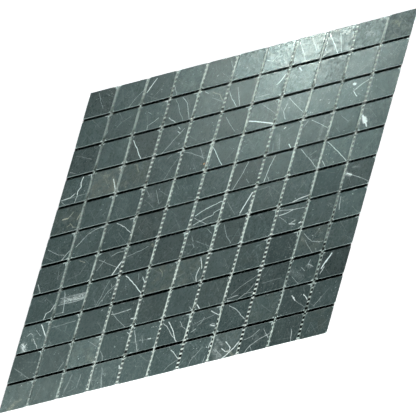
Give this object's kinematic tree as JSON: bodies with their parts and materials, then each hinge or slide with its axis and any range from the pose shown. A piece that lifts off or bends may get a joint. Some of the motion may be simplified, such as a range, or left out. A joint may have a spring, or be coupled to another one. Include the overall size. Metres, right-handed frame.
{
  "type": "mosaic tile sheet",
  "caption": "Square sheet of small square stone tiles with eased arrises, set face up with open joints and glued by their backs to an open glass fibre mesh.",
  "frame": {"origin": "middle of the sheet, on the underside of the backing mesh, which is the face that lies on the floor", "axes": "+X across the sheet to the picture's right, +Y up the sheet to the picture's top, +Z out of the honed tile faces"},
  "size_m": [0.3024, 0.3024, 0.0101],
  "materials": {
    "marble": "honed, dark green-grey with thin white veins",
    "fibre_mesh": "white resin-coated glass fibre"
  },
  "bodies": {
    "root": {"tile_row_01": "marble", "tile_row_02": "marble", "tile_row_03": "marble", "tile_row_04": "marble", "tile_row_05": "marble", "tile_row_06": "marble", "tile_row_07": "marble", "tile_row_08": "marble", "tile_row_09": "marble", "tile_row_10": "marble", "tile_row_11": "marble", "mesh_lengthwise_strands": "fibre_mesh", "mesh_crosswise_strands": "fibre_mesh"}
  },
  "joints": []
}
